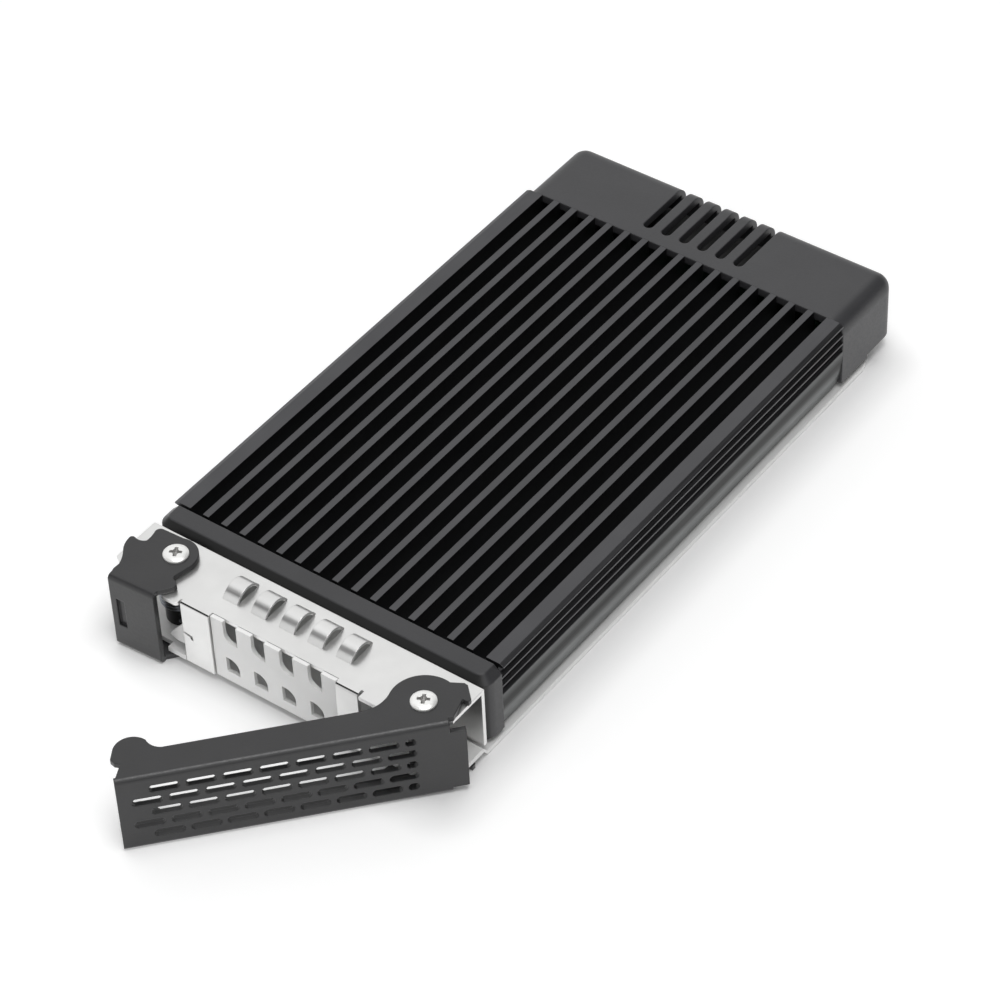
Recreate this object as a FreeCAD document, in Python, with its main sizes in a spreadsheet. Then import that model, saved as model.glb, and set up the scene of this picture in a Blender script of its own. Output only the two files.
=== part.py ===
import FreeCAD, Part
import math
import os
import re
import Sketcher

# Hot swap drive caddy: a finned drive enclosure on a folded steel tray, with a
# perforated cam handle and a spring latch on the tray's front box.
# Frame: +X to the right seen from the front, +Y to the rear, +Z up, millimetres.
# The origin is the middle of the tray's flat underside, which is Z = 0.

V = FreeCAD.Vector
DOC = FreeCAD.newDocument("HotSwapCaddy")
SHEET = DOC.addObject("Spreadsheet::Sheet", "Sizes")

SIZES = [
    # enclosure
    ("half_width", 34.9), ("enclosure_top", 16.0), ("split_height", 9.6),
    ("fins_front", -48.0), ("fins_rear", 54.9),
    ("cap_front", -52.8), ("cap_rear", 72.4), ("cap_foot", 2.0), ("cap_wall", 1.6), ("cap_floor", 0.7),
    ("cap_bevel", 1.5), ("cap_corner", 2.75), ("rear_round", 3.0),
    ("fin_pitch", 4.0), ("fin_gap", 2.7), ("fin_depth", 4.6), ("gap_count", 16),
    ("groove_pitch", 2.0), ("groove_depth", 1.1), ("rib_edge", 0.3), ("tip_gap", 0.55), ("shell_wall", 1.4),
    ("vent_width", 2.0), ("vent_pitch", 3.97), ("vent_count", 6),
    ("vent_front", 57.8), ("vent_floor", 12.4),
    # tray
    ("tray_half", 35.1), ("tray_sheet", 1.0), ("tray_rear", 65.5), ("tray_corner", 4.0),
    ("step_rear", -53.05), ("step_front", -54.0), ("shelf_low", 1.3),
    ("box_front", -65.4), ("cover_sheet", 0.75), ("cover_top", 15.1),
    ("wall_front", -64.95), ("wall_sheet", 0.75), ("wall_left", -12.7), ("wall_right", 13.8),
    ("lip_front", -64.6), ("lip_half", 19.1), ("cover_rear", -52.85),
    ("hole_pitch", 6.0), ("hole_width", 2.8), ("hole_first", -8.7), ("hole_round", 2.0),
    ("arch_pitch", 6.0), ("arch_width", 3.1), ("arch_front", -60.7),
    ("arch_rear", -54.5), ("arch_rise", 1.9), ("arch_sheet", 0.5), ("tab_fold", 0.6),
    # handle, drawn closed about its own pivot
    ("handle_x", 29.2), ("handle_y", -61.4), ("handle_angle", 48.2),
    ("lever_sheet", 1.0), ("lever_top", 16.3), ("fold_radius", 0.9),
    ("handle_face", -5.7), ("handle_left", -51.1), ("handle_right", 5.8),
    ("handle_clear", 4.15), ("fold_end", 3.1), ("flange_rear", 0.25), ("ear_radius", 5.95),
    ("relief_depth", 2.3),
    ("mesh_length", 5.0), ("mesh_height", 1.6), ("mesh_pitch", 5.94),
    ("row_pitch", 2.6), ("mesh_left", -48.8), ("mesh_right", -2.45),
    # latch, drawn about its own pivot
    ("latch_x", -25.9), ("latch_y", -57.8), ("latch_angle", 3.0),
    ("latch_face", -10.0), ("latch_left", -6.9), ("latch_right", 2.6),
    ("key_width", 1.7), ("key_length", 6.2), ("key_top", 11.4), ("key_depth", 0.5),
    # pivots
    ("pivot_bore", 1.6), ("pivot_play", 0.05), ("head_radius", 2.25), ("head_height", 0.7),
    ("sink_radius", 2.6),
    ("screw_x", 30.86), ("screw_front", -18.2), ("screw_rear", 58.4), ("screw_radius", 1.5),
    ("screw_head", 2.75), ("post_radius", 3.0), ("thread_radius", 1.25),
    ("spring_radius", 3.45), ("spring_wire", 0.3), ("spring_pitch", 0.68), ("spring_turns", 4.5),
    ("spring_base", 6.0), ("spring_low_leg", 4.5), ("spring_high_leg", 7.6),
]

for row, (alias, value) in enumerate(SIZES, start=1):
    SHEET.set("A%d" % row, alias.replace("_", " "))
    SHEET.set("B%d" % row, str(value))
    SHEET.setAlias("B%d" % row, alias)
DOC.recompute()


def full(expression):
    """The expression with the sheet's name before each alias."""
    return re.sub(r"([a-z]+(?:_[a-z]+)+)", r"Sizes.\1", str(expression))


def size(expression):
    """The number that an expression of sheet aliases stands for."""
    return float(SHEET.evalExpression(str(expression)))


# ---------------------------------------------------------------- Part primitives

def box(label, x0, x1, y0, y1, z0, z1):
    """A Part box between two corners."""
    item = DOC.addObject("Part::Box", label)
    for name, low, high in (("Length", x0, x1), ("Width", y0, y1), ("Height", z0, z1)):
        item.setExpression(name, full("(%s) - (%s)" % (high, low)))
    for name, low in (("x", x0), ("y", y0), ("z", z0)):
        item.setExpression("Placement.Base." + name, full(low))
    return item


def rod(label, x, y, z0, z1, radius, top_radius=None):
    """An upright Part cylinder, or a cone where a top radius is given."""
    if top_radius is None:
        item = DOC.addObject("Part::Cylinder", label)
        item.setExpression("Radius", full(radius))
    else:
        item = DOC.addObject("Part::Cone", label)
        item.setExpression("Radius1", full(radius))
        item.setExpression("Radius2", full(top_radius))
    item.setExpression("Height", full("(%s) - (%s)" % (z1, z0)))
    for name, low in (("x", x), ("y", y), ("z", z0)):
        item.setExpression("Placement.Base." + name, full(low))
    return item


def fuse(label, items):
    """Several Part objects joined into one."""
    item = DOC.addObject("Part::MultiFuse", label)
    item.Shapes = items
    item.Refine = True
    return item


def cut(label, base, tools):
    """A Part object less one or more tools."""
    item = DOC.addObject("Part::Cut", label)
    item.Base = base
    item.Tool = tools[0] if len(tools) == 1 else fuse(label + "_tools", tools)
    item.Refine = True
    return item


def group(label, items):
    """Separate like solids kept as one compound."""
    item = DOC.addObject("Part::Compound", label)
    item.Links = items
    return item


# ---------------------------------------------------------------- PartDesign helpers

def new_body(label):
    return DOC.addObject("PartDesign::Body", label)


def origin_item(body, role):
    """A plane or axis of the body's own origin."""
    for item in body.Origin.OriginFeatures:
        if item.Role == role:
            return item
    raise ValueError(role)


def new_sketch(body, name, role, offset):
    """A sketch on one of the body's origin planes, moved along its normal."""
    sketch = body.newObject("Sketcher::SketchObject", name)
    sketch.AttachmentSupport = (origin_item(body, role), [""])
    sketch.MapMode = "FlatFace"
    sketch.setExpression("AttachmentOffset.Base.z", full(offset))
    return sketch


def add_rectangle(sketch, x0, y0, x1, y1):
    """A rectangle with its corners bound to the sheet."""
    first = sketch.GeometryCount
    corners = [V(size(x0), size(y0)), V(size(x1), size(y0)),
               V(size(x1), size(y1)), V(size(x0), size(y1))]
    for i in range(4):
        sketch.addGeometry(Part.LineSegment(corners[i], corners[(i + 1) % 4]), False)
    for i in range(4):
        sketch.addConstraint(Sketcher.Constraint("Coincident", first + i, 2, first + (i + 1) % 4, 1))
    for i, kind in enumerate(("Horizontal", "Vertical", "Horizontal", "Vertical")):
        sketch.addConstraint(Sketcher.Constraint(kind, first + i))
    pins = (("DistanceX", first, 1, x0), ("DistanceY", first, 1, y0),
            ("DistanceX", first + 2, 1, x1), ("DistanceY", first + 2, 1, y1))
    for kind, line, end, expression in pins:
        value = Sketcher.Constraint(kind, -1, 1, line, end, size(expression))
        number = sketch.addConstraint(value)
        sketch.setExpression("Constraints[%d]" % number, full(expression))


def add_outline(sketch, start, steps, locked=True):
    """A closed outline: each step is an end point, or a middle and an end point of an arc."""
    first = sketch.GeometryCount
    here = V(*start)
    for step in steps:
        if len(step) == 2 and isinstance(step[0], tuple):
            middle, end = V(*step[0]), V(*step[1])
            sketch.addGeometry(Part.Arc(here, middle, end), False)
        else:
            end = V(*step)
            sketch.addGeometry(Part.LineSegment(here, end), False)
        here = end
    if not locked:
        return
    count = len(steps)
    for i in range(count):
        line, after = first + i, first + (i + 1) % count
        ends = (sketch.getPoint(line, 1), sketch.getPoint(line, 2))
        starts = (sketch.getPoint(after, 1), sketch.getPoint(after, 2))
        near = min((a.distanceToPoint(b), m + 1, n + 1)
                   for m, a in enumerate(ends) for n, b in enumerate(starts))
        sketch.addConstraint(Sketcher.Constraint("Coincident", line, near[1], after, near[2]))
    for i in range(count):
        sketch.addConstraint(Sketcher.Constraint("Block", first + i))


def stop_if_failed(feature):
    if "Invalid" in feature.State or feature.Shape.isNull():
        raise RuntimeError("failed: " + feature.Name)


def pad(body, name, sketch, length, backward=False):
    feature = body.newObject("PartDesign::Pad", name)
    feature.Profile = sketch
    feature.setExpression("Length", full(length))
    feature.Reversed = backward
    sketch.Visibility = False
    DOC.recompute()
    stop_if_failed(feature)
    return feature


def pocket(body, name, sketch, length, backward=False, through=False):
    """A pocket that must take material away."""
    before = body.Shape.Volume
    feature = body.newObject("PartDesign::Pocket", name)
    feature.Profile = sketch
    if through:
        feature.Type = 1
        feature.Midplane = True
    else:
        feature.setExpression("Length", full(length))
    feature.Reversed = backward
    DOC.recompute()
    stop_if_failed(feature)
    if feature.Shape.Volume > before - 0.01:
        raise RuntimeError(name + " takes nothing away")
    return feature


def repeat(body, name, feature, axis_role, length, count):
    """A linear pattern of one feature along an axis of the body's origin."""
    pattern = body.newObject("PartDesign::LinearPattern", name)
    pattern.Originals = [feature]
    pattern.Direction = (origin_item(body, axis_role), [""])
    pattern.setExpression("Length", full(length))
    pattern.setExpression("Occurrences", full(count))
    body.Tip = pattern
    DOC.recompute()
    stop_if_failed(pattern)
    return pattern


def edges_of(feature, test):
    """Names of the feature's edges whose ends and middle all pass a test."""
    names = []
    for number, edge in enumerate(feature.Shape.Edges, start=1):
        points = [vertex.Point for vertex in edge.Vertexes]
        points.append(edge.valueAt((edge.FirstParameter + edge.LastParameter) / 2))
        if all(test(point) for point in points):
            names.append("Edge%d" % number)
    if not names:
        raise RuntimeError("no edges found on " + feature.Name)
    return names


def round_edges(body, name, feature, radius, test):
    fillet = body.newObject("PartDesign::Fillet", name)
    fillet.Base = (feature, edges_of(feature, test))
    fillet.setExpression("Radius", full(radius))
    DOC.recompute()
    stop_if_failed(fillet)
    return fillet


def bevel_edges(body, name, feature, amount, test):
    chamfer = body.newObject("PartDesign::Chamfer", name)
    chamfer.Base = (feature, edges_of(feature, test))
    chamfer.setExpression("Size", full(amount))
    DOC.recompute()
    stop_if_failed(chamfer)
    return chamfer


def near(a, b, tolerance=0.02):
    return abs(a - b) < tolerance


# ---------------------------------------------------------------- enclosure

def make_heatsink():
    """Extruded top half: grooved sides, fins cut from the solid."""
    body = new_body("heatsink")
    half, top, split = size("half_width"), size("enclosure_top"), size("split_height")
    pitch, depth, edge = size("groove_pitch"), size("groove_depth"), size("rib_edge")
    chamfer, fall, recess, web = 0.85, 0.4, 3.0, 0.5
    side = [(half - chamfer, top), (half, top - fall)]
    for i in range(3):
        ridge = top - fall - i * pitch
        side += [(half, ridge - edge), (half - depth, ridge - edge - 0.2), (half - depth, ridge - 0.9),
                 (half - 0.7 * depth, ridge - 1.4), (half, ridge - pitch)]
    right = [(x, z, 0) for x, z in side]
    left = [(-x, z, 0) for x, z in reversed(side)]
    inner = half - recess
    under = [(inner, split, 0), (inner, split + web, 0), (-inner, split + web, 0), (-inner, split, 0)]
    sketch = new_sketch(body, "heatsink_profile", "XZ_Plane", "-(fins_rear)")
    loop = [left[-1]] + right + under + left
    add_outline(sketch, loop[0], loop[1:])
    pad(body, "heatsink_pad", sketch, "fins_rear - fins_front")
    gap = new_sketch(body, "fin_gap_outline", "XZ_Plane", "-(fins_rear) - 1")
    first = "-(gap_count * fin_pitch - (fin_pitch - fin_gap)) / 2"
    add_rectangle(gap, first, "enclosure_top - fin_depth", first + " + fin_gap", "enclosure_top + 1")
    slot = pocket(body, "fin_gap_cut", gap, "fins_rear - fins_front + 2", backward=True)
    repeat(body, "fin_gaps", slot, "X_Axis", "fin_pitch * (gap_count - 1)", "gap_count")
    tips = new_sketch(body, "fin_tip_outline", "XY_Plane", "enclosure_top - cap_wall")
    add_rectangle(tips, "-(half_width) - 1", "fins_front - 1", "half_width + 1", "fins_front + tip_gap")
    pocket(body, "fin_tip_gap", tips, "cap_wall + 1", backward=True)
    return body


def make_lower_shell():
    """Bare aluminium trough with bulged sides, hollow inside."""
    body = new_body("lower_shell")
    half, split, floor = size("half_width"), size("split_height"), size("tray_sheet")
    wall = size("shell_wall")
    sketch = new_sketch(body, "lower_shell_profile", "XZ_Plane", "-(fins_rear)")
    rim, bulge, foot = split - 1.0, half - 0.25, half - 1.6
    toe = (half - 1.0, floor + 0.6, 0)
    middle = (rim + toe[1]) / 2
    inner = half - 0.9 - wall
    steps = [(half, rim, 0), ((bulge, middle, 0), toe), (foot, floor, 0), (-foot, floor, 0),
             (-toe[0], toe[1], 0), ((-bulge, middle, 0), (-half, rim, 0)), (-half, split, 0),
             (-inner, split, 0), (-inner, floor + wall, 0), (inner, floor + wall, 0),
             (inner, split, 0), (half, split, 0)]
    add_outline(sketch, (half, split, 0), steps)
    pad(body, "lower_shell_pad", sketch, "fins_rear - fins_front")
    rests = new_sketch(body, "board_rests", "XY_Plane", "tray_sheet + shell_wall")
    for x in (-27.5, 27.5):
        for y in (-40.0, 46.0):
            rests.addGeometry(Part.Circle(V(x, y, 0), V(0, 0, 1), 2.0), False)
    pad(body, "board_rest_pads", rests, "1.2")
    holes = new_sketch(body, "shell_screw_holes", "XY_Plane", "0")
    for side in (-1, 1):
        place = V(side * size("screw_x"), size("screw_front"), 0)
        holes.addGeometry(Part.Circle(place, V(0, 0, 1), size("screw_radius")), False)
    pocket(body, "shell_threads", holes, "tray_sheet + shell_wall + 1", backward=True)
    return body


def tray_screw_places():
    """The four bottom fixing holes of a 2.5-inch drive."""
    return [(x, y) for y in ("screw_front", "screw_rear") for x in ("-(screw_x)", "screw_x")]


def make_tray_screws():
    """Countersunk screws, flush with the tray's underside."""
    screws = []
    for number, (x, y) in enumerate(tray_screw_places()):
        head = rod("tray_head_%d" % number, x, y, "0.05", "tray_sheet", "screw_head", "screw_radius")
        shank = rod("tray_shank_%d" % number, x, y, "tray_sheet", "tray_sheet + 2.3", "screw_radius")
        screws.append(fuse("tray_screw_%d" % number, [head, shank]))
    return group("tray_screws", screws)


def make_front_cap():
    """Moulded cap with a bevelled top edge and rounded corners, hollow behind."""
    body = new_body("front_cap")
    sketch = new_sketch(body, "front_cap_outline", "XY_Plane", "cap_foot")
    add_rectangle(sketch, "-(half_width)", "cap_front", "half_width", "fins_front")
    block = pad(body, "front_cap_pad", sketch, "enclosure_top - cap_foot")
    front, top = size("cap_front"), size("enclosure_top")
    corner = round_edges(body, "front_cap_corners", block, "cap_corner",
                         lambda p: near(p.y, front) and near(abs(p.x), size("half_width")))
    bevel_edges(body, "front_cap_bevel", corner, "cap_bevel",
                lambda p: near(p.z, top) and p.y < size("fins_front") - 0.5)
    hollow = new_sketch(body, "front_cap_hollow", "XZ_Plane", "-(fins_front)")
    add_rectangle(hollow, "-(half_width) + cap_wall", "cap_foot + cap_wall",
                  "half_width - cap_wall", "enclosure_top - cap_wall")
    pocket(body, "front_cap_inside", hollow, "fins_front - cap_front - cap_wall", backward=True)
    return body


def make_rear_cap():
    """Moulded hood over the connector: rounded rear edge, six vents, connector mouth."""
    body = new_body("rear_cap")
    rear, top, half = size("cap_rear"), size("enclosure_top"), size("half_width")
    sketch = new_sketch(body, "rear_cap_outline", "XY_Plane", "cap_foot")
    add_rectangle(sketch, "-(half_width)", "fins_rear", "half_width", "cap_rear")
    block = pad(body, "rear_cap_pad", sketch, "enclosure_top - cap_foot")
    step = new_sketch(body, "rear_cap_step", "YZ_Plane", "-(half_width) - 1")
    add_rectangle(step, "tray_rear - 2", "cap_foot - 1", "cap_rear + 1", "cap_foot + 0.7")
    stepped = pocket(body, "rear_cap_raised_foot", step, "2 * half_width + 2", backward=True)
    corner = round_edges(body, "rear_cap_corners", stepped, "rear_round",
                         lambda p: near(p.y, rear) and near(abs(p.x), half))
    round_edges(body, "rear_cap_round", corner, "rear_round",
                lambda p: near(p.z, top) and p.y > rear - 3.2)
    hollow = new_sketch(body, "rear_cap_hollow", "XZ_Plane", "-(fins_rear)")
    add_rectangle(hollow, "-(half_width) + cap_wall", "cap_foot + 0.7 + cap_floor",
                  "half_width - cap_wall", "enclosure_top - cap_wall")
    pocket(body, "rear_cap_inside", hollow, "cap_rear - fins_rear - cap_wall")
    holes = new_sketch(body, "rear_cap_screw_holes", "XY_Plane", "0")
    for side in (-1, 1):
        place = V(side * size("screw_x"), size("screw_rear"), 0)
        holes.addGeometry(Part.Circle(place, V(0, 0, 1), size("screw_radius")), False)
    pocket(body, "rear_cap_threads", holes, "cap_foot + cap_wall + 1", backward=True)
    mouth = new_sketch(body, "rear_cap_mouth", "XZ_Plane", "-(cap_rear) - 1")
    add_rectangle(mouth, "-22", "cap_foot + 0.7 + cap_floor", "22", "cap_foot + 8.2")
    pocket(body, "rear_cap_opening", mouth, "cap_wall + 2", backward=True)
    vent = new_sketch(body, "vent_outline", "XY_Plane", "vent_floor")
    middle = size("-(vent_pitch) * (vent_count - 1) / 2")
    radius, front = size("vent_width") / 2, size("vent_front")
    steps = [(middle - radius, rear + 1, 0), (middle - radius, front + radius, 0),
             ((middle, front, 0), (middle + radius, front + radius, 0)),
             (middle + radius, rear + 1, 0)]
    add_outline(vent, steps[-1], steps)
    slot = pocket(body, "vent_cut", vent, "enclosure_top - vent_floor + 1", backward=True)
    repeat(body, "vents", slot, "X_Axis", "vent_pitch * (vent_count - 1)", "vent_count")
    return body


# ---------------------------------------------------------------- tray

def corner_cut(y):
    """Where the plates' right corner is cut back at y, to clear the open handle."""
    angle = math.radians(size("handle_angle"))
    across = size("handle_clear") + (y - size("handle_y")) * math.cos(angle)
    return (size("handle_x") + across / math.sin(angle), y, 0)


def corner_start(x):
    """Where that cut meets the plates' right edge at x."""
    angle = math.radians(size("handle_angle"))
    along = (x - size("handle_x")) * math.sin(angle) - size("handle_clear")
    return (x, size("handle_y") + along / math.cos(angle), 0)


def make_tray_base():
    """One folded sheet: floor plate, step up to the front shelf, pierced front wall."""
    body = new_body("tray_sheet_body")
    half, sheet, low = size("tray_half"), size("tray_sheet"), size("shelf_low")
    rear, corner = size("tray_rear"), size("tray_corner")
    step_rear, step_front, front = size("step_rear"), size("step_front"), size("box_front")
    sketch = new_sketch(body, "floor_section", "YZ_Plane", "-(tray_half)")
    outline = [(step_rear, 0, 0), (rear, 0, 0), (rear, sheet, 0), (step_rear - 0.1, sheet, 0),
               (step_front - 0.1, low + sheet, 0), (front, low + sheet, 0), (front, low, 0),
               (step_front, low, 0)]
    add_outline(sketch, outline[-1], outline)
    plate = pad(body, "floor_sheet", sketch, "2 * tray_half")
    rounded = round_edges(body, "floor_corners", plate, "tray_corner",
                          lambda p: near(p.y, rear) and near(abs(p.x), half))
    trim = new_sketch(body, "shelf_trim", "XY_Plane", "0")
    left = [(-half - 1, front - 1, 0), (-23.0, front - 1, 0), (-23.0, front + 1.4, 0),
            (-half + 2.5, front + 1.4, 0), (-half, front + 3.4, 0), (-half - 1, front + 3.4, 0)]
    add_outline(trim, left[-1], left)
    cut_low, cut_high = corner_cut(front + 0.6), corner_start(half)
    right = [(half + 1, front - 1, 0), (half + 1, cut_high[1], 0), cut_high, cut_low,
             (19.2, front + 0.6, 0), (19.2, front - 1, 0)]
    add_outline(trim, right[-1], right)
    pocket(body, "shelf_edges", trim, "shelf_low + tray_sheet + 1", backward=True)
    lip = new_sketch(body, "shelf_front_trim", "XY_Plane", "0")
    add_rectangle(lip, "-(lip_half)", "box_front - 1", "lip_half", "lip_front")
    pocket(body, "shelf_front_edge", lip, "shelf_low + tray_sheet + 1", backward=True)
    wall = new_sketch(body, "front_wall_outline", "XZ_Plane", "-(wall_front) - wall_sheet")
    add_rectangle(wall, "wall_left", "shelf_low", "wall_right", "cover_top - 0.1")
    pad(body, "front_wall", wall, "wall_sheet")
    lug = new_sketch(body, "wall_lug_outline", "XZ_Plane", "-(lip_front) - wall_sheet")
    inner = size("wall_left") + 0.2
    outline = [(inner, 4.2, 0), (inner, 9.0, 0), (-19.6, 9.0, 0), (-22.6, 5.4, 0), (-22.8, 4.8, 0),
               (-21.3, 4.2, 0)]
    add_outline(lug, outline[-1], outline)
    pad(body, "wall_lug", lug, "wall_sheet")
    first, width, top = size("hole_first"), size("hole_width"), size("cover_top")
    a, b = first - width / 2, first + width / 2
    holes = new_sketch(body, "wall_holes", "XZ_Plane", "-(wall_front) + 1")
    floor, turn = top - 4.6, size("hole_round")
    sag = turn * (1 - math.sqrt(0.5))
    upper = [(a, floor + turn, 0), ((a + sag, floor + sag, 0), (a + turn, floor, 0)), (b, floor, 0),
             (b, top, 0)]
    add_outline(holes, (a, top, 0), upper + [(a, top, 0)])
    low_a, low_b, base, roof = a - 0.1, b - 0.1, 3.5, 6.8
    lower = [(low_a, base, 0), (low_b, base, 0), (low_b, roof - turn, 0),
             ((low_b - sag, roof - sag, 0), (low_b - turn, roof, 0))]
    add_outline(holes, (low_a, roof, 0), lower + [(low_a, roof, 0)])
    pair = pocket(body, "wall_hole_pair", holes, "tray_sheet + 2")
    repeat(body, "wall_hole_row", pair, "X_Axis", "3 * hole_pitch", "4")
    bore = new_sketch(body, "shelf_bores", "XY_Plane", "0")
    for x, y in (("handle_x", "handle_y"), ("latch_x", "latch_y")):
        bore.addGeometry(Part.Circle(V(size(x), size(y), 0), V(0, 0, 1), size("pivot_bore + 0.1")), False)
    pocket(body, "shelf_screw_bores", bore, "shelf_low + tray_sheet + 1", backward=True)
    sinks = []
    for x, y in tray_screw_places():
        sinks.append(rod("tray_sink", x, y, "0", "tray_sheet", "screw_head + 0.1", "screw_radius"))
    return cut("tray_base", body, sinks)


def make_front_cover():
    """Folded sheet over the front box: spring arches, rear wall, two front tabs."""
    body = new_body("front_cover")
    half, front, rear = size("half_width"), size("box_front"), size("cover_rear")
    under = "cover_top - cover_sheet"
    sketch = new_sketch(body, "cover_outline", "XY_Plane", under)
    edge, root, brow, lobe = front + 1.25, front + 0.8, front - 0.3, front - 0.5
    left_end, right_end = size("wall_left") - 0.1, size("wall_right") + 0.1
    outline = [(half, rear, 0), corner_start(half), corner_cut(brow), (19.1, brow, 0),
               (19.1, edge, 0), (18.6, edge, 0), (18.6, root, 0), (right_end, root, 0),
               (right_end, edge, 0), (left_end, edge, 0), (left_end, root, 0), (-19.2, root, 0),
               (-19.2, front + 0.1, 0), ((-19.4, front - 0.3, 0), (-19.9, lobe, 0)),
               (-22.4, lobe, 0), (-23.1, front + 1.2, 0), (-half + 2.2, front + 1.2, 0),
               (-half, front + 2.6, 0), (-half, rear, 0)]
    add_outline(sketch, outline[-1], outline)
    pad(body, "cover_plate", sketch, "cover_sheet")
    back = new_sketch(body, "rear_wall_outline", "XZ_Plane", "-(cover_rear)")
    add_rectangle(back, "-(half_width)", "shelf_low + tray_sheet + 0.05", "half_width", under)
    pad(body, "rear_wall", back, "cover_sheet")
    top, low, sheet, fold = size("cover_top"), size("shelf_low") + 0.1, size("cover_sheet"), size("tab_fold")
    tabs = (("left_tab", "-18.9", "wall_left - 0.2"), ("right_tab", "wall_right + 0.2", "18.6"))
    for name, left, right in tabs:
        tab = new_sketch(body, name + "_section", "YZ_Plane", left)
        section = [(front + fold, top, 0),
                   ((front + 0.3 * fold, top - 0.3 * fold, 0), (front, top - fold, 0)),
                   (front, low, 0), (front + sheet, low, 0), (front + sheet, top - sheet, 0),
                   (front + 1.2, top - sheet, 0), (front + 1.2, top, 0)]
        add_outline(tab, section[-1], section)
        pad(body, name, tab, "(%s) - (%s)" % (right, left))
    slit = new_sketch(body, "tab_slit_outline", "XZ_Plane", "-(box_front) + 1")
    slit_points = [(-19.2, 8.6, 0), (-18.2, 8.3, 0), (-17.0, 8.1, 0), (-16.8, 7.1, 0),
                   (-17.3, 7.1, 0), (-17.5, 7.6, 0), (-18.4, 7.8, 0), (-19.2, 8.0, 0)]
    add_outline(slit, slit_points[-1], slit_points)
    pocket(body, "tab_slit", slit, "cover_sheet + 1.2")
    window = new_sketch(body, "arch_window", "XY_Plane", under + " - 1")
    add_rectangle(window, "-2 * arch_pitch - arch_width / 2", "arch_front + 0.4",
                  "-2 * arch_pitch + arch_width / 2", "arch_rear - 0.4")
    opening = pocket(body, "arch_window_cut", window, "cover_sheet + 2", backward=True)
    repeat(body, "arch_windows", opening, "X_Axis", "4 * arch_pitch", "5")
    arch = new_sketch(body, "arch_section", "YZ_Plane", "-2 * arch_pitch - arch_width / 2")
    y0, y1, rise, thin = size("arch_front"), size("arch_rear"), size("arch_rise"), size("arch_sheet")
    foot, middle = top - 0.35, (y0 + y1) / 2
    add_outline(arch, (y0, foot, 0), [((middle, top + rise, 0), (y1, foot, 0)), (y1 - 0.6, foot, 0),
                ((middle, top + rise - thin, 0), (y0 + 0.6, foot, 0)), (y0, foot, 0)])
    bridge = pad(body, "arch", arch, "arch_width")
    repeat(body, "arches", bridge, "X_Axis", "4 * arch_pitch", "5")
    bore = new_sketch(body, "cover_bores", "XY_Plane", under + " - 1")
    for x, y in (("handle_x", "handle_y"), ("latch_x", "latch_y")):
        bore.addGeometry(Part.Circle(V(size(x), size(y), 0), V(0, 0, 1), size("pivot_bore + 0.1")), False)
    pocket(body, "cover_screw_bores", bore, "cover_sheet + 2", backward=True)
    return body


# ---------------------------------------------------------------- levers

def handle_outline():
    """Flange outline of the closed handle about its pivot."""
    left, face, rear = size("handle_left"), size("handle_face"), size("flange_rear")
    ear, end = size("ear_radius"), size("fold_end")
    start = (left, face, 0)
    steps = [
        (left + 0.1, face + 0.4, 0), (-49.6, -1.95, 0), (-50.55, -1.44, 0), (-51.05, -0.6, 0),
        (-50.5, 1.2, 0), ((-47.4, 3.6, 0), (-44.9, 2.4, 0)), ((-44.1, 1.0, 0), (-42.6, rear, 0)),
        (-10.5, rear, 0), ((-7.1, 1.15, 0), (-5.2, 2.9, 0)), ((0, ear, 0), (5.0, 3.2, 0)),
        (7.2, 2.5, 0), (7.65, 1.9, 0), (7.55, -1.3, 0), (7.0, -1.8, 0), (6.2, -0.95, 0),
        ((5.1, -2.8, 0), (end, face, 0)), start]
    return start, steps


def latch_outline():
    """Flange outline of the latch about its pivot, with two lobes and the catch."""
    start = (size("latch_left"), size("latch_face"), 0)
    end = size("latch_right")
    steps = [
        (start[0], -8.6, 0), (-7.05, -8.2, 0), (-6.9, -6.7, 0), ((-7.5, -5.1, 0), (-8.3, -3.8, 0)),
        ((-9.1, -2.2, 0), (-9.3, -1.0, 0)), ((-9.1, -0.3, 0), (-8.5, -0.2, 0)),
        ((-7.3, -0.35, 0), (-6.3, 0.2, 0)), ((-6.25, 1.2, 0), (-6.45, 2.6, 0)),
        ((-6.25, 3.5, 0), (-5.4, 3.85, 0)), (-1.2, 3.85, 0), ((3.2, 2.2, 0), (3.7, -1.2, 0)),
        (2.9, -4.1, 0), ((3.15, -4.85, 0), (3.8, -5.1, 0)), (4.5, -5.75, 0), (4.5, -6.4, 0),
        (3.3, -7.9, 0), (end, -8.6, 0), (end, size("latch_face"), 0), start]
    return start, steps


def latch_low_outline():
    """The latch's lower flange: a plain ear that clears the step in the floor."""
    start = (size("latch_left"), size("latch_face"), 0)
    end = size("latch_right")
    steps = [(start[0], -6.0, 0), (-4.2, 0.0, 0), (-4.0, 2.6, 0), (-3.2, 2.9, 0), (-1.2, 3.2, 0),
             ((2.6, 2.25, 0), (3.4, -0.6, 0)), (2.9, -4.1, 0), ((3.15, -4.85, 0), (3.8, -5.1, 0)),
             (4.5, -5.75, 0), (4.5, -6.4, 0), (3.3, -7.9, 0), (end, -8.6, 0),
             (end, size("latch_face"), 0), start]
    return start, steps


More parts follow.
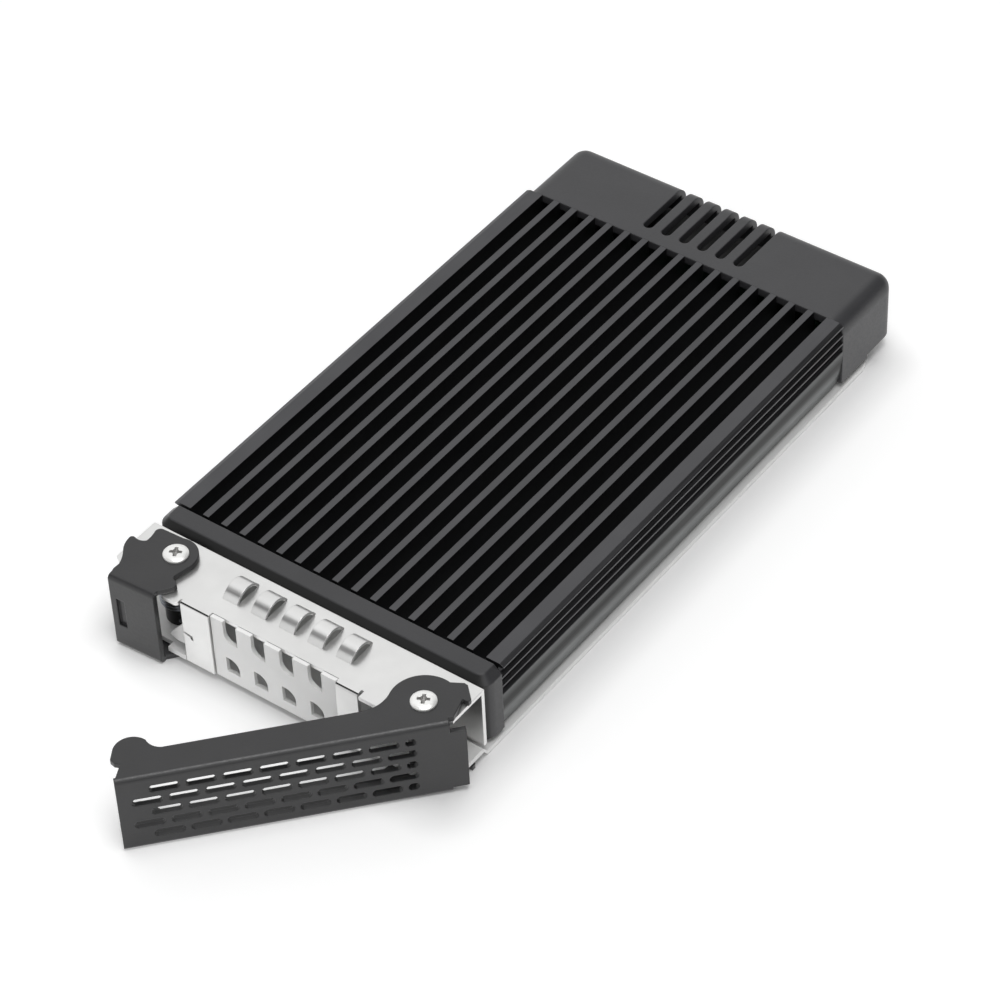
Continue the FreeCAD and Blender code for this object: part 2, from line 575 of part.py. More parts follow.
def folded_lever(label, low_outline, high_outline, right):
    """C-section lever: two flanges joined by a front face, folds rounded outside."""
    body = new_body(label)
    face = high_outline[0][1]
    flanges = (("lower_flange", "0", low_outline),
               ("upper_flange", "lever_top - lever_sheet", high_outline))
    for name, height, (start, steps) in flanges:
        sketch = new_sketch(body, label + "_" + name + "_outline", "XY_Plane", height)
        add_outline(sketch, start, steps)
        if name == "lower_flange":
            pad(body, label + "_" + name, sketch, "lever_sheet")
            web = new_sketch(body, label + "_face_outline", "XZ_Plane", "%s - lever_sheet" % -face)
            add_rectangle(web, str(start[0]), "0", right, "lever_top")
            pad(body, label + "_face", web, "lever_sheet")
        else:
            last = pad(body, label + "_" + name, sketch, "lever_sheet")
    top = size("lever_top")
    round_edges(body, label + "_folds", last, "fold_radius",
                lambda p: near(p.y, face) and (near(p.z, 0) or near(p.z, top)))
    return body


def pivot_bores(body, label):
    """Shoulder bore through the upper flange, countersunk bore through the lower one."""
    bore = new_sketch(body, label + "_bore_outline", "XY_Plane", "-1")
    bore.addGeometry(Part.Circle(V(0, 0, 0), V(0, 0, 1), size("pivot_bore")), False)
    number = bore.addConstraint(Sketcher.Constraint("Radius", 0, size("pivot_bore")))
    bore.setExpression("Constraints[%d]" % number, full("pivot_bore"))
    bore.addConstraint(Sketcher.Constraint("Coincident", 0, 3, -1, 1))
    pocket(body, label + "_bore", bore, "lever_top + 2", backward=True)
    sink = new_sketch(body, label + "_sink_section", "XZ_Plane", "0")
    wide, narrow, deep = size("sink_radius"), size("pivot_bore"), size("lever_sheet") - 0.05
    add_outline(sink, (0, 0, 0), [(wide, 0, 0), (narrow, deep, 0), (0, deep, 0), (0, 0, 0)])
    groove = body.newObject("PartDesign::Groove", label + "_sink")
    groove.Profile = sink
    groove.ReferenceAxis = (origin_item(body, "Z_Axis"), [""])
    groove.Angle = 360
    DOC.recompute()


def place_lever(body, x, y, angle):
    body.Placement = FreeCAD.Placement(V(0, 0, 0), FreeCAD.Rotation(V(0, 0, 1), size(angle)))
    body.setExpression("Placement.Base.x", full(x))
    body.setExpression("Placement.Base.y", full(y))
    body.setExpression("Placement.Rotation.Angle", full(angle))


def make_handle():
    """Swing handle: perforated face, hook at the free end, cam lobe at the pivot."""
    body = folded_lever("handle", handle_outline(), handle_outline(), "handle_right")
    notch = new_sketch(body, "handle_corner_notches", "XZ_Plane", "-(handle_face) + 1")
    add_rectangle(notch, "fold_end", "-1", "handle_right + 1", "relief_depth / 2")
    add_rectangle(notch, "fold_end", "lever_top - relief_depth", "handle_right + 1", "lever_top + 1")
    pocket(body, "handle_relief", notch, "lever_sheet + 1.3")
    rows = new_sketch(body, "mesh_slots", "XZ_Plane", "-(handle_face) + 1")
    length, height, pitch = size("mesh_length"), size("mesh_height"), size("mesh_pitch")
    left, right, middle = size("mesh_left"), size("mesh_right"), size("lever_top") / 2
    for row in range(-2, 3):
        z = middle + row * size("row_pitch")
        x = left + (pitch / 2 if row % 2 == 0 else 0.0)
        while x < right - 1.0:
            add_slot(rows, x, min(x + length, right), z, height)
            x += pitch
    pocket(body, "handle_mesh", rows, "lever_sheet + 1.3")
    pivot_bores(body, "handle")
    place_lever(body, "handle_x", "handle_y", "handle_angle")
    return body


def add_slot(sketch, x0, x1, z, height):
    """A slot lying along X, its ends rounded in three flats."""
    r = height / 2
    flat = r * math.tan(math.pi / 8)
    ends = [(x0, z - flat, 0), (x0 + r - flat, z - r, 0), (x1 - r + flat, z - r, 0), (x1, z - flat, 0),
            (x1, z + flat, 0), (x1 - r + flat, z + r, 0), (x0 + r - flat, z + r, 0), (x0, z + flat, 0)]
    add_outline(sketch, ends[-1], ends, locked=False)


def make_latch():
    """Latch lever: pressed key slot in the face, catch that holds the handle's hook."""
    body = folded_lever("latch_lever", latch_low_outline(), latch_outline(), "latch_right")
    key = new_sketch(body, "key_outline", "XZ_Plane", "-(latch_face)")
    add_rectangle(key, "latch_left + 1.2", "key_top - key_length",
                  "latch_left + 1.2 + key_width", "key_top")
    pocket(body, "key_recess", key, "key_depth")
    pivot_bores(body, "latch_lever")
    place_lever(body, "latch_x", "latch_y", "latch_angle")
    return body


# ---------------------------------------------------------------- pivots

def make_pivots():
    """Posts between the plates, and a shoulder screw above and below each."""
    parts = []
    shelf, roof = "shelf_low + tray_sheet", "cover_top - cover_sheet"
    shank = "pivot_bore - pivot_play"
    for name in ("handle", "latch"):
        x, y = name + "_x", name + "_y"
        post = rod(name + "_post_blank", x, y, shelf, roof, "post_radius")
        bore = rod(name + "_post_bore", x, y, shelf, roof, "thread_radius")
        parts.append(cut(name + "_post", post, [bore]))
        head = rod(name + "_top_head", x, y, "lever_top", "lever_top + head_height",
                   "head_radius", "head_radius - 0.35")
        neck = rod(name + "_top_neck", x, y, roof, "lever_top", shank)
        thread = rod(name + "_top_thread", x, y, roof + " - 5", roof, "thread_radius")
        parts.append(fuse(name + "_screw_top", [head, neck, thread]))
        sunk = rod(name + "_low_head", x, y, "0.03", "lever_sheet - 0.1", "sink_radius - 0.1", shank)
        low_neck = rod(name + "_low_neck", x, y, "lever_sheet - 0.1", shelf, shank)
        low_thread = rod(name + "_low_thread", x, y, shelf, shelf + " + 5", "thread_radius")
        parts.append(fuse(name + "_screw_bottom", [sunk, low_neck, low_thread]))
    return parts


def make_latch_spring():
    """Torsion spring wound round the latch post from hexagonal-faceted wire, with two legs."""
    body = new_body("latch_spring")
    lift = "spring_pitch * spring_turns"
    for name, side, height, reach in (("low", 1, "spring_base", "spring_low_leg"),
                                      ("high", -1, "spring_base + " + lift, "spring_high_leg")):
        sketch = new_sketch(body, "spring_%s_section" % name, "XZ_Plane", "0")
        middle = (side * size("spring_radius"), size(height))
        corners = []
        for i in range(6):
            turn = math.radians(60 * i)
            corners.append((middle[0] + size("spring_wire") * math.cos(turn),
                            middle[1] + size("spring_wire") * math.sin(turn), 0))
        add_outline(sketch, corners[-1], corners)
        if name == "low":
            coil = body.newObject("PartDesign::AdditiveHelix", "spring_coil")
            coil.Profile = sketch
            coil.ReferenceAxis = (origin_item(body, "Z_Axis"), [""])
            coil.Mode = 0
            coil.setExpression("Pitch", full("spring_pitch"))
            coil.setExpression("Height", full(lift))
            DOC.recompute()
            stop_if_failed(coil)
        pad(body, "spring_%s_leg" % name, sketch, reach)
    body.setExpression("Placement.Base.x", full("latch_x"))
    body.setExpression("Placement.Base.y", full("latch_y"))
    return body


# ---------------------------------------------------------------- inside the enclosure

def make_inside():
    """Adapter board with its drive connector, and the storage module it carries."""
    parts = []
    board_low, board_top = "tray_sheet + shell_wall + 1.2", "tray_sheet + shell_wall + 2.4"
    board = box("adapter_blank", "-30", "30", "fins_front + 4", "cap_rear - 8", board_low, board_top)
    parts.append(cut("adapter_board", board, [box("adapter_notch", "-30", "-24", "cap_rear - 14",
                     "cap_rear - 8", board_low, board_top)]))
    shell = box("connector_blank", "-21", "21", "cap_rear - 11", "cap_rear - 0.4", board_top, "9.6")
    mouth = box("connector_mouth", "-19.5", "19.5", "cap_rear - 7", "cap_rear", "5.9", "8.6")
    parts.append(cut("drive_connector", shell, [mouth]))
    pins = []
    for i in range(14):
        x = str(-17.9 + i * 2.54)
        pins.append(box("pin_%d" % i, x, x + " + 1.2", "cap_rear - 7", "cap_rear - 1.5", "5.9", "6.2"))
    parts.append(group("connector_contacts", pins))
    socket = box("socket_blank", "-11", "11", "44", "51", board_top, "7.4")
    slot = box("socket_mouth", "-10.9", "10.9", "44", "48", "5.7", "6.7")
    parts.append(cut("module_socket", socket, [slot]))
    module = box("module_blank", "-10.8", "10.8", "-32", "48", "5.8", "6.6")
    parts.append(cut("storage_module", module, [rod("module_notch", "0", "-31", "5.8", "6.6", "1.1")]))
    chips = [box("chip_%d" % i, "-6", "6", str(y), str(y) + " + 14", "6.6", "7.8")
             for i, y in enumerate((-24, -6, 12))]
    chips.append(box("controller", "-6.5", "6.5", "29", "42", "6.6", "7.8"))
    parts.append(group("module_chips", chips))
    parts.append(box("thermal_pad", "-10", "10", "-26", "42", "7.8", "split_height + 0.5"))
    stand = rod("standoff_blank", "0", "-31", board_top, "5.8", "2.4")
    parts.append(cut("module_standoff", stand, [rod("standoff_bore", "0", "-31", board_top, "5.8", "0.9")]))
    head = rod("module_screw_head", "0", "-31", "6.6", "7.4", "1.9", "1.6")
    shank = rod("module_screw_shank", "0", "-31", "5.0", "6.6", "0.9")
    parts.append(fuse("module_screw", [head, shank]))
    return parts


def build():
    parts = [make_tray_base(), make_front_cover(), make_heatsink(), make_lower_shell(),
             make_front_cap(), make_rear_cap(), make_handle(), make_latch()]
    parts += make_pivots()
    parts += [make_latch_spring(), make_tray_screws()]
    parts += make_inside()
    return parts


def check(parts):
    """Stop on a failed object or a bad shape."""
    for item in DOC.Objects:
        if "Invalid" in item.State or "Error" in item.State:
            raise RuntimeError("failed: " + item.Name)
    for part in parts:
        if part.Shape.isNull() or not part.Shape.isValid():
            raise RuntimeError("bad shape: " + part.Label)


def export(parts):
    os.makedirs("parts", exist_ok=True)
    for part in parts:
        part.Shape.exportStep(os.path.join("parts", part.Label + ".step"))


PARTS = build()
DOC.recompute()
check(PARTS)
export(PARTS)
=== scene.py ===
import math

import bpy
from mathutils import Matrix, Vector


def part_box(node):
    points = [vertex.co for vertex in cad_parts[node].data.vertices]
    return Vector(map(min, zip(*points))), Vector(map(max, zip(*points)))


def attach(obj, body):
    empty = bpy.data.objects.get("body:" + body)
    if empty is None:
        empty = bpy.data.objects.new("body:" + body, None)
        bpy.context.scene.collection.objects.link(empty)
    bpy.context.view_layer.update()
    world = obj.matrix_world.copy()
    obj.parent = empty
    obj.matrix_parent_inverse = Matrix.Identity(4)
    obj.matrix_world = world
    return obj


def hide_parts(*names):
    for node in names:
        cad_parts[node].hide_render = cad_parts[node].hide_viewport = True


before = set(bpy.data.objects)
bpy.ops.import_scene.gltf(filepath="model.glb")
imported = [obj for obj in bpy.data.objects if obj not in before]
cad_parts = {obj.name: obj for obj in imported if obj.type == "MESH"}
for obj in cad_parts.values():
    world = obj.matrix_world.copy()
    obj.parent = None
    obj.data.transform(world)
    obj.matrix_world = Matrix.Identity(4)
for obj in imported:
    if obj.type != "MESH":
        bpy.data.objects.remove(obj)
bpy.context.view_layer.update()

bl_info = {
    "name": "Hot swap drive caddy",
    "version": (1, 0, 0),
    "blender": (4, 5, 0),
    "location": "View3D > Sidebar > Caddy",
    "description": "Dresses a finned drive caddy: metal finishes, screws, spring and studio",
    "category": "Object",
}

MM = 0.001
MIX_LOW, MIX_HIGH, MIX_RESULT = 6, 7, 2     # a colour Mix node's two colours and its result

CAMERA_LENS = 134.77                        # mm
CAMERA_PLACE = (0.298461, -0.379985, 0.452631)
CAMERA_AXES = ((0.80489, 0.59231, -0.03608),    # to the right
               (-0.38549, 0.56814, 0.72707),    # up
               (0.45116, -0.57132, 0.68562))    # away from what it looks at


# ---------------------------------------------------------------- colours and nodes

def colour(hex_value):
    """Linear RGBA of an sRGB hex value."""
    channels = [int(hex_value[i:i + 2], 16) / 255 for i in (1, 3, 5)]
    linear = [c / 12.92 if c <= 0.04045 else ((c + 0.055) / 1.055) ** 2.4 for c in channels]
    return (*linear, 1.0)


def tones(*hex_values):
    """Linear colours of several hex values."""
    return [colour(value) for value in hex_values]


def add_node(tree, kind, values=None, links=None, **settings):
    """One shader node with its settings, socket values and incoming links."""
    item = tree.nodes.new(kind)
    for name, value in settings.items():
        setattr(item, name, value)
    for socket, value in (values or {}).items():
        item.inputs[socket].default_value = value
    for socket, source in (links or {}).items():
        tree.links.new(source, item.inputs[socket])
    return item


def empty_material(name):
    """A material with no nodes yet, and its node tree."""
    material = bpy.data.materials.new(name)
    material.use_nodes = True
    material.node_tree.nodes.clear()
    return material, material.node_tree


def grain(tree, across, along=None, axis="Y", detail=2.0):
    """Noise on Object coordinates: lumps `across` mm wide, drawn out to `along` mm on one axis."""
    steps = [1 / (across * MM)] * 3
    if along:
        steps["XYZ".index(axis)] = 1 / (along * MM)
    place = add_node(tree, "ShaderNodeTexCoord").outputs["Object"]
    mapped = add_node(tree, "ShaderNodeMapping", {"Scale": steps}, {"Vector": place})
    noise = add_node(tree, "ShaderNodeTexNoise", {"Scale": 1.0, "Detail": detail},
                     {"Vector": mapped.outputs["Vector"]})
    return noise.outputs["Fac"]


def finish(name, pair, gloss, metallic, fine, patch, depth, eased=0.12):
    """A material: two tones in soft patches, and a fine pattern in its roughness and relief.

    pair are two linear colours, gloss the lowest and highest roughness, fine and patch the
    settings of the two noise patterns, depth the relief and eased the edge radius in mm."""
    material, tree = empty_material(name)
    texture, cloud = grain(tree, **fine), grain(tree, **patch)
    share = add_node(tree, "ShaderNodeMapRange", {"From Min": 0.3, "From Max": 0.7}, {"Value": cloud})
    base = add_node(tree, "ShaderNodeMix", {MIX_LOW: pair[0], MIX_HIGH: pair[1]},
                    {"Factor": share.outputs["Result"]}, data_type="RGBA")
    rough = add_node(tree, "ShaderNodeMapRange", {"From Min": 0.3, "From Max": 0.7,
                     "To Min": gloss[0], "To Max": gloss[1]}, {"Value": texture})
    edges = add_node(tree, "ShaderNodeBevel", {"Radius": eased * MM}, samples=6)
    relief = add_node(tree, "ShaderNodeBump", {"Strength": 1.0, "Distance": depth * MM},
                      {"Height": texture, "Normal": edges.outputs["Normal"]})
    shader = add_node(tree, "ShaderNodeBsdfPrincipled", {"Metallic": metallic},
                      {"Base Color": base.outputs[MIX_RESULT], "Roughness": rough.outputs["Result"],
                       "Normal": relief.outputs["Normal"]})
    add_node(tree, "ShaderNodeOutputMaterial", links={"Surface": shader.outputs["BSDF"]})
    return material


def zone(material, *steps):
    """A mask that is high where all its steps are.

    A step is an output and an axis of the surface's place or normal, the two values between
    which it changes, and its share before and after them."""
    tree = material.node_tree
    mask = None
    for output, axis, start, end, before, after in steps:
        place = add_node(tree, "ShaderNodeTexCoord").outputs[output]
        split = add_node(tree, "ShaderNodeSeparateXYZ", links={"Vector": place})
        step = add_node(tree, "ShaderNodeMapRange",
                        {"From Min": start, "From Max": end, "To Min": before, "To Max": after},
                        {"Value": split.outputs[axis]}, interpolation_type="SMOOTHSTEP")
        share = step.outputs["Result"]
        if mask:
            product = add_node(tree, "ShaderNodeMath", links={0: mask, 1: share},
                               operation="MULTIPLY")
            share = product.outputs["Value"]
        mask = share
    return mask


def paint_shade(material, tone, mask):
    """Lay a darker tone over a finish where its mask is high: painted shade, and on the lower shell a
    painted dark reflection.
    """
    tree = material.node_tree
    shader = next(n for n in tree.nodes if n.type == "BSDF_PRINCIPLED")
    base = shader.inputs["Base Color"].links[0].from_socket
    mixed = add_node(tree, "ShaderNodeMix", {MIX_HIGH: colour(tone)},
                     {"Factor": mask, MIX_LOW: base}, data_type="RGBA")
    tree.links.new(mixed.outputs[MIX_RESULT], shader.inputs["Base Color"])
    return material


# ---------------------------------------------------------------- finishes
# Die lines, mould grain and tool marks are finer in life. They are drawn about three times as
# coarse here, so that they still show.

def black_anodised(pair):
    """Extruded aluminium, bead blasted and anodised black: faint lines along the fins, dull sheen."""
    return finish("black_anodised_aluminium", pair, (0.34, 0.44), 1.0,
                  {"across": 0.35, "along": 30}, {"across": 9.0}, 0.003)


def moulded_abs(name, pair):
    """Moulded ABS from a spark-eroded tool: an even matt grain that softens every highlight."""
    return finish(name, pair, (0.36, 0.46), 0.0,
                  {"across": 0.45, "detail": 3}, {"across": 9.0}, 0.015, eased=0.4)


def abs_with_painted_shade():
    """The same plastic with painted shade: a little darker all over, and black on its front below the
    bevel.
    """
    material = moulded_abs("moulded_abs_painted_shade", tones("#343436", "#38383a"))
    # painted shadow: faces turned to the front, below the bevel's foot, are laid black
    mask = zone(material, ("Normal", "Y", -0.35, -0.6, 0, 1),
                ("Object", "Z", 15.95 * MM, 15.75 * MM, 0, 1))
    return paint_shade(material, "#020202", mask)


def powder_coat(pair):
    """Black powder coat on sheet steel: a low orange peel under a soft gloss."""
    return finish("powder_coated_steel", pair, (0.3, 0.4), 0.0,
                  {"across": 0.7, "detail": 3}, {"across": 7.0}, 0.02, eased=0.3)


def zinc_sheet(pair):
    """Zinc plated sheet steel, chromated: pale and even, its metal sheen veiled by the dull film."""
    return finish("zinc_plated_sheet", pair, (0.36, 0.44), 0.12,
                  {"across": 0.3, "along": 9, "axis": "X"}, {"across": 6.0}, 0.002)


def burnished_zinc():
    """The same plating where the press burnished it: satin metal, with painted shade, black, on the
    upward faces under the plate's top where the arches open.
    """
    material = finish("burnished_zinc_plate", tones("#e6e6e5", "#ededec"), (0.28, 0.34), 0.9,
                      {"across": 0.3, "along": 9, "axis": "X"}, {"across": 6.0}, 0.002)
    # painted shade: upward faces between 13.6 and 15.07 mm, under the arches, are laid black
    mask = zone(material, ("Object", "Z", 13.6 * MM, 13.7 * MM, 0, 1),
                ("Object", "Z", 15.07 * MM, 15.03 * MM, 0, 1), ("Normal", "Z", 0.5, 0.8, 0, 1))
    return paint_shade(material, "#050505", mask)


def drawn_aluminium():
    """Drawn aluminium left bare: grey and lined along its length, with a painted reflection, a dark band
    across its waist.
    """
    material = finish("drawn_aluminium", tones("#6c6e6e", "#757777"), (0.32, 0.42), 0.9,
                      {"across": 0.3, "along": 25}, {"across": 8.0}, 0.003)
    # painted reflection: dark from 4.4 mm up, full from 6.8 to 7.4 mm, a quarter above 9.8 mm
    mask = zone(material, ("Object", "Z", 4.4 * MM, 6.8 * MM, 0, 1),
                ("Object", "Z", 7.4 * MM, 9.8 * MM, 1, 0.25))
    return paint_shade(material, "#121312", mask)


def turned_steel():
    """Turned steel, oiled: fine rings round each post. Its dark grey is painted shade, for the shade
    round the latch post.
    """
    return finish("turned_steel", tones("#262627", "#323233"), (0.3, 0.42), 0.9,
                  {"across": 9.0, "along": 0.25, "axis": "Z"}, {"across": 3.0}, 0.004)


def spring_wire():
    """Drawn spring wire: dark, slightly blue steel with drawing lines."""
    return finish("drawn_spring_wire", tones("#7b7e83", "#92959a"), (0.26, 0.38), 0.95,
                  {"across": 0.12, "detail": 3}, {"across": 1.5}, 0.002)


def black_nylon():
    """Moulded glass-filled nylon: black, satin, with faint fibres along the flow."""
    return finish("glass_filled_nylon", tones("#161616", "#202021"), (0.4, 0.55), 0.0,
                  {"across": 0.3, "along": 1.5, "axis": "X"}, {"across": 4.0}, 0.01)


def gold_plate():
    """Gold flash on stamped contacts: yellow and smooth, wiped along each pin."""
    return finish("gold_plated_contact", tones("#c99a45", "#e2bb66"), (0.2, 0.32), 1.0,
                  {"across": 0.15, "along": 3}, {"across": 1.0}, 0.001)


def chip_epoxy():
    """Moulded chip epoxy: near black, matt, with a fine filler speckle."""
    return finish("moulded_chip_epoxy", tones("#161617", "#262628"), (0.45, 0.6), 0.0,
                  {"across": 0.2, "detail": 4}, {"across": 0.4}, 0.008)


def silicone_pad():
    """Filled silicone pad, cast: soft grey, dull, slightly porous."""
    return finish("filled_silicone", tones("#8f98a3", "#a2abb5"), (0.7, 0.8), 0.0,
                  {"across": 0.4, "detail": 4}, {"across": 2.5}, 0.03)


def nickel_plate():
    """Nickel plated steel: bright and fairly smooth; the driven recess is laid darker as painted shade.
    """
    material = finish("nickel_plated_steel", tones("#f5f5f3", "#fcfcfa"), (0.3, 0.4), 0.4,
                      {"across": 0.8, "detail": 3}, {"across": 1.2}, 0.002, eased=0.2)
    # painted shade on the recess walls, read from the mesh's recess attribute
    recess = add_node(material.node_tree, "ShaderNodeAttribute", attribute_name="recess")
    return paint_shade(material, "#9c9b99", recess.outputs["Fac"])


def circuit_board():
    """Glass-epoxy board under green solder mask: traces show as a faint relief."""
    material = finish("glass_epoxy_board", tones("#14492c", "#1d5c38"), (0.28, 0.38), 0.0,
                      {"across": 0.5}, {"across": 1.6}, 0.01)
    tree = material.node_tree
    place = add_node(tree, "ShaderNodeTexCoord").outputs["Object"]
    mapped = add_node(tree, "ShaderNodeMapping", {"Scale": [1 / (1.6 * MM)] * 3}, {"Vector": place})
    cells = add_node(tree, "ShaderNodeTexVoronoi", {"Scale": 1.0}, {"Vector": mapped.outputs["Vector"]},
                     distance="MANHATTAN", feature="F1")
    bump = next(n for n in tree.nodes if n.type == "BUMP")
    tree.links.new(cells.outputs["Distance"], bump.inputs["Height"])
    return material


def white_floor(lift, clear):
    """Matt white floor, lifted where the camera, a mirror or glass sees it.

    What the camera sees is lifted from nothing beside the tray to the full value `clear` away: a painted
    shadow round the tray."""
    material, tree = empty_material("white_floor")
    # how far a point lies outside the tray's outline, seen from above
    low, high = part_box("tray_base")
    place = add_node(tree, "ShaderNodeTexCoord").outputs["Object"]
    for operation, value in (("SUBTRACT", (low + high) / 2), ("ABSOLUTE", (0, 0, 0)),
                             ("SUBTRACT", (high - low) / 2), ("MAXIMUM", (0, 0, 0)),
                             ("MULTIPLY", (1, 1, 0))):
        step = add_node(tree, "ShaderNodeVectorMath", {1: value}, {0: place}, operation=operation)
        place = step.outputs["Vector"]
    away = add_node(tree, "ShaderNodeVectorMath", links={0: place}, operation="LENGTH")
    share = add_node(tree, "ShaderNodeMapRange", {"From Max": clear, "To Max": 1.0},
                     {"Value": away.outputs["Value"]})
    path = add_node(tree, "ShaderNodeLightPath")
    # painted shadow: the camera's lift grows with distance from the tray's outline
    camera_lift_with_painted_shadow = add_node(tree, "ShaderNodeMath", links={0: share.outputs["Result"],
                    1: path.outputs["Is Camera Ray"]}, operation="MULTIPLY")
    seen = camera_lift_with_painted_shadow.outputs["Value"]
    for name in ("Is Glossy Ray", "Is Transmission Ray"):
        either = add_node(tree, "ShaderNodeMath", links={0: seen, 1: path.outputs[name]},
                          operation="MAXIMUM")
        seen = either.outputs["Value"]
    amount = add_node(tree, "ShaderNodeMath", {1: lift}, {0: seen}, operation="MULTIPLY")
    shader = add_node(tree, "ShaderNodeBsdfPrincipled",
                      {"Base Color": colour("#f2f2f2"), "Roughness": 1.0, "Specular IOR Level": 0.0,
                       "Emission Color": colour("#ffffff")},
                      {"Emission Strength": amount.outputs["Value"]})
    add_node(tree, "ShaderNodeOutputMaterial", links={"Surface": shader.outputs["BSDF"]})
    return material


# ---------------------------------------------------------------- modelling helpers

def start_clean():
    """Object mode with nothing selected."""
    if bpy.context.object and bpy.context.object.mode != "OBJECT":
        bpy.ops.object.mode_set(mode="OBJECT")
    bpy.ops.object.select_all(action="DESELECT")


def pick(item):
    """Select and activate one object only."""
    start_clean()
    item.select_set(True)
    bpy.context.view_layer.objects.active = item


def settle(item):
    """Put the object's place into its mesh, so that it sits at the origin."""
    pick(item)
    bpy.ops.object.transform_apply(location=True, rotation=True, scale=True)


def use_modifier(item, name, kind, **settings):
    """Add a modifier and apply it."""
    pick(item)
    modifier = item.modifiers.new(name, kind)
    for key, value in settings.items():
        setattr(modifier, key, value)
    bpy.ops.object.modifier_apply(modifier=name)


def name_piece(item, name):
    """Name an object and its mesh alike."""
    item.name = name
    item.data.name = name


def join(items, name):
    """Several meshes as one object."""
    start_clean()
    for item in items:
        item.select_set(True)
    bpy.context.view_layer.objects.active = items[0]
    bpy.ops.object.join()
    joined = bpy.context.object
    name_piece(joined, name)
    return joined


def copy_at(item, offset):
    """A copy with its own mesh, moved by an offset."""
    twin = bpy.data.objects.new(item.name + "_copy", item.data.copy())
    bpy.context.scene.collection.objects.link(twin)
    twin.location = offset
    settle(twin)
    return twin


def select_faces(item, test):
    """In edit mode, select just the faces whose centre and normal pass a test."""
    pick(item)
    bpy.ops.object.mode_set(mode="EDIT")
    bpy.ops.mesh.select_mode(type="FACE")
    bpy.ops.mesh.select_all(action="DESELECT")
    bpy.ops.object.mode_set(mode="OBJECT")
    for face in item.data.polygons:
        face.select = bool(test(face.center, face.normal))
    bpy.ops.object.mode_set(mode="EDIT")


def select_points(item, test):
    """In edit mode, select just the points that pass a test."""
    pick(item)
    bpy.ops.object.mode_set(mode="EDIT")
    bpy.ops.mesh.select_mode(type="VERT")
    bpy.ops.mesh.select_all(action="DESELECT")
    bpy.ops.object.mode_set(mode="OBJECT")
    for point in item.data.vertices:
        point.select = bool(test(point.co))
    bpy.ops.object.mode_set(mode="EDIT")


def dress(material, *nodes):
    """Give CAD nodes a finish in place of their plain one."""
    for node in nodes:
        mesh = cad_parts[node].data
        mesh.materials.clear()
        mesh.materials.append(material)


def finish_piece(item, material, body, node):
    """Common end of a new piece: its finish, body and slot, and the node it stands for."""
    settle(item)
    bpy.ops.object.shade_smooth_by_angle(angle=math.radians(32))
    item.data.materials.clear()
    item.data.materials.append(material)
    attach(item, body)
    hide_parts(node)


def centre(node):
    """The middle of a node, seen from above."""
    low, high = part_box(node)
    return (low.x + high.x) / 2, (low.y + high.y) / 2


# ---------------------------------------------------------------- screws

def cross_cutter(place, facing_up, reach, deep):
    """Tapered cross with a pointed middle, which cuts a recess into a screw head."""
    arm_width, foot_share, quarter_turn = 0.56 * reach, 0.4, math.pi / 2
    skew = 0.5                                   # radians, so that no cross lines up with the part
    parts = []
    for turn in (0.0, quarter_turn):
        start_clean()
        bpy.ops.mesh.primitive_cube_add(size=1.0, location=(0, 0, 0))
        arm = bpy.context.object
        arm.scale = (2 * reach, arm_width, 2 * deep)
        arm.rotation_euler = (0, 0, turn)
        settle(arm)
        select_faces(arm, lambda c, n: n.z < -0.5)
        bpy.ops.transform.resize(value=(foot_share, foot_share, 1.0), center_override=(0, 0, -deep))
        bpy.ops.object.mode_set(mode="OBJECT")
        parts.append(arm)
    start_clean()
    bpy.ops.mesh.primitive_cone_add(vertices=8, radius1=0.2 * reach, radius2=0.62 * reach,
                                    depth=2.2 * deep, location=(0, 0, 0))
    parts.append(bpy.context.object)
    for other in parts[1:]:
        use_modifier(parts[0], "all_arms", "BOOLEAN", object=other, operation="UNION", solver="EXACT")
        bpy.data.objects.remove(other)
    cutter = parts[0]
    cutter.rotation_euler = (0 if facing_up else math.pi, 0, skew)
    cutter.location = place
    settle(cutter)
    return cutter


def cut_recess(screw, place, facing_up, reach, deep):
    """Cut the cross and mark its walls, where the painted shade goes, in the mesh's own attribute."""
    cutter = cross_cutter(place, facing_up, reach, deep)
    use_modifier(screw, "recess", "BOOLEAN", object=cutter, operation="DIFFERENCE", solver="EXACT")
    walls = [face.normal.copy() for face in cutter.data.polygons]
    bpy.data.objects.remove(cutter)
    marks = screw.data.color_attributes.new(name="recess", type="FLOAT_COLOR", domain="CORNER")
    side, skin, slack = 1 if facing_up else -1, 0.08 * MM, 0.02
    for face in screw.data.polygons:
        away = math.hypot(face.center.x - place[0], face.center.y - place[1])
        below = (place[2] - face.center.z) * side
        walled = any((wall + face.normal).length < slack for wall in walls)
        value = 1.0 if walled and away < reach * (1 + slack) and below > skin else 0.0
        for corner in face.loop_indices:
            marks.data[corner].color = (value, value, value, 1.0)


def pan_screw(name, node, head_height, shank_radius):
    """Shoulder screw: a domed pan head with a cross recess over a plain shank."""
    low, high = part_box(node)
    x, y = centre(node)
    radius = (high.x - low.x) / 2
    rim, seat = 0.45 * head_height, high.z - head_height
    start_clean()
    bpy.ops.mesh.primitive_cylinder_add(vertices=64, radius=radius, depth=rim,
                                        location=(x, y, seat + rim / 2))
    head = bpy.context.object
    settle(head)
    select_faces(head, lambda c, n: n.z > 0.9)
    dome = head_height - rim
    for inset, lift in ((0.1, 0.42), (0.14, 0.3), (0.22, 0.2), (0.26, 0.08)):
        bpy.ops.mesh.inset(thickness=inset * radius, depth=lift * dome)
    cut_recess(head, (x, y, high.z), True, 0.72 * radius, 0.7 * head_height)
    start_clean()
    bpy.ops.mesh.primitive_cylinder_add(vertices=40, radius=shank_radius, depth=seat - low.z,
                                        location=(x, y, (seat + low.z) / 2))
    shank = bpy.context.object
    settle(shank)
    select_faces(shank, lambda c, n: n.z < -0.9)
    bpy.ops.mesh.inset(thickness=0.25 * MM, depth=0.0)
    return join([head, shank], name)


